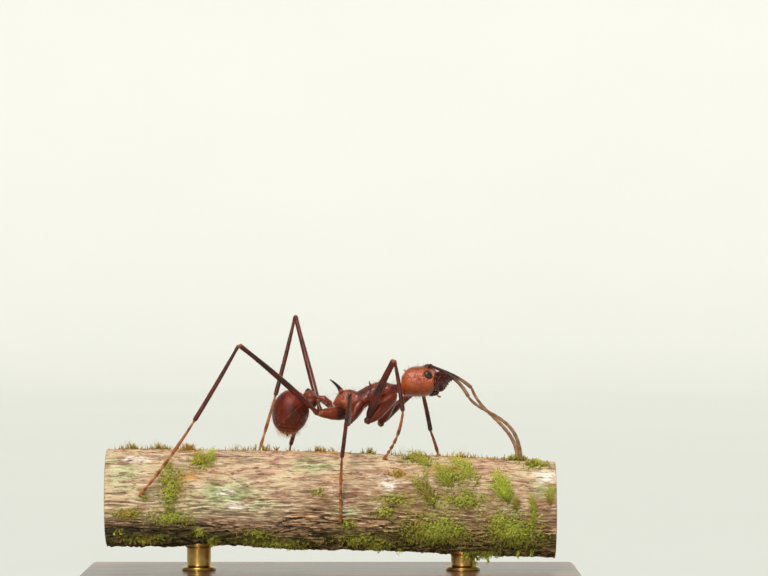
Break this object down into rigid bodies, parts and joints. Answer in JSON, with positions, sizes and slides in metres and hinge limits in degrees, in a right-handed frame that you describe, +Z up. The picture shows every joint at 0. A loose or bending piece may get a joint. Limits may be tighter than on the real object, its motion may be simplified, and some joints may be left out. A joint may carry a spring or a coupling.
{
  "type": "leafcutter ant museum model",
  "caption": "Life-size still model of a leafcutter worker ant standing on a cut length of twig, held over a flat base by short rods.",
  "frame": {"origin": "middle of the underside of the display base", "axes": "+X the way the ant faces, along the twig; +Y the ant's left; +Z up"},
  "size_m": [0.025, 0.013, 0.0155],
  "materials": {
    "head_shell": "glossy orange-red horn with a fine net of dimples, darker at the front",
    "trunk_shell": "red-brown horn with a satin sheen",
    "gaster_shell": "dark red-brown horn, paler orange at the tip",
    "leg_shell": "dark red-brown horn, pale at the joints",
    "foot_shell": "tan horn, hairy",
    "feeler_shell": "brown horn under short pale hair",
    "jaw_shell": "very dark maroon horn, glossy",
    "eye_lens": "black, with small facets",
    "joint_skin": "pale tan skin at the joints",
    "golden_hair": "fine golden hairs",
    "bark": "rough, fibrous grey-pink bark with lichen",
    "moss": "yellow-green moss",
    "stand_brass": "satin brass",
    "stand_walnut": "oiled dark walnut"
  },
  "bodies": {
    "root": {"coxa_fore_left": "leg_shell", "coxa_fore_right": "leg_shell", "coxa_hind_left": "leg_shell", "coxa_hind_right": "leg_shell", "coxa_mid_left": "leg_shell", "coxa_mid_right": "leg_shell", "eye_left": "eye_lens", "eye_right": "eye_lens", "femur_fore_left": "leg_shell", "femur_fore_right": "leg_shell", "femur_hind_left": "leg_shell", "femur_hind_right": "leg_shell", "femur_mid_left": "leg_shell", "femur_mid_right": "leg_shell", "gaster": "gaster_shell", "head": "head_shell", "mandible_left": "jaw_shell", "mandible_right": "jaw_shell", "mesothorax": "trunk_shell", "perch_twig": "bark", "petiole": "trunk_shell", "postpetiole": "trunk_shell", "pronotum": "trunk_shell", "propodeum": "trunk_shell", "scape_left": "feeler_shell", "scape_right": "feeler_shell", "stand_base": "stand_walnut", "stand_rod_front": "stand_brass", "stand_rod_rear": "stand_brass", "tarsus_fore_left": "foot_shell", "tarsus_fore_right": "foot_shell", "tarsus_hind_left": "foot_shell", "tarsus_hind_right": "foot_shell", "tarsus_mid_left": "foot_shell", "tarsus_mid_right": "foot_shell", "tibia_fore_left": "leg_shell", "tibia_fore_right": "leg_shell", "tibia_hind_left": "leg_shell", "tibia_hind_right": "leg_shell", "tibia_mid_left": "leg_shell", "tibia_mid_right": "leg_shell", "whip_left": "feeler_shell", "whip_right": "feeler_shell"}
  },
  "joints": []
}
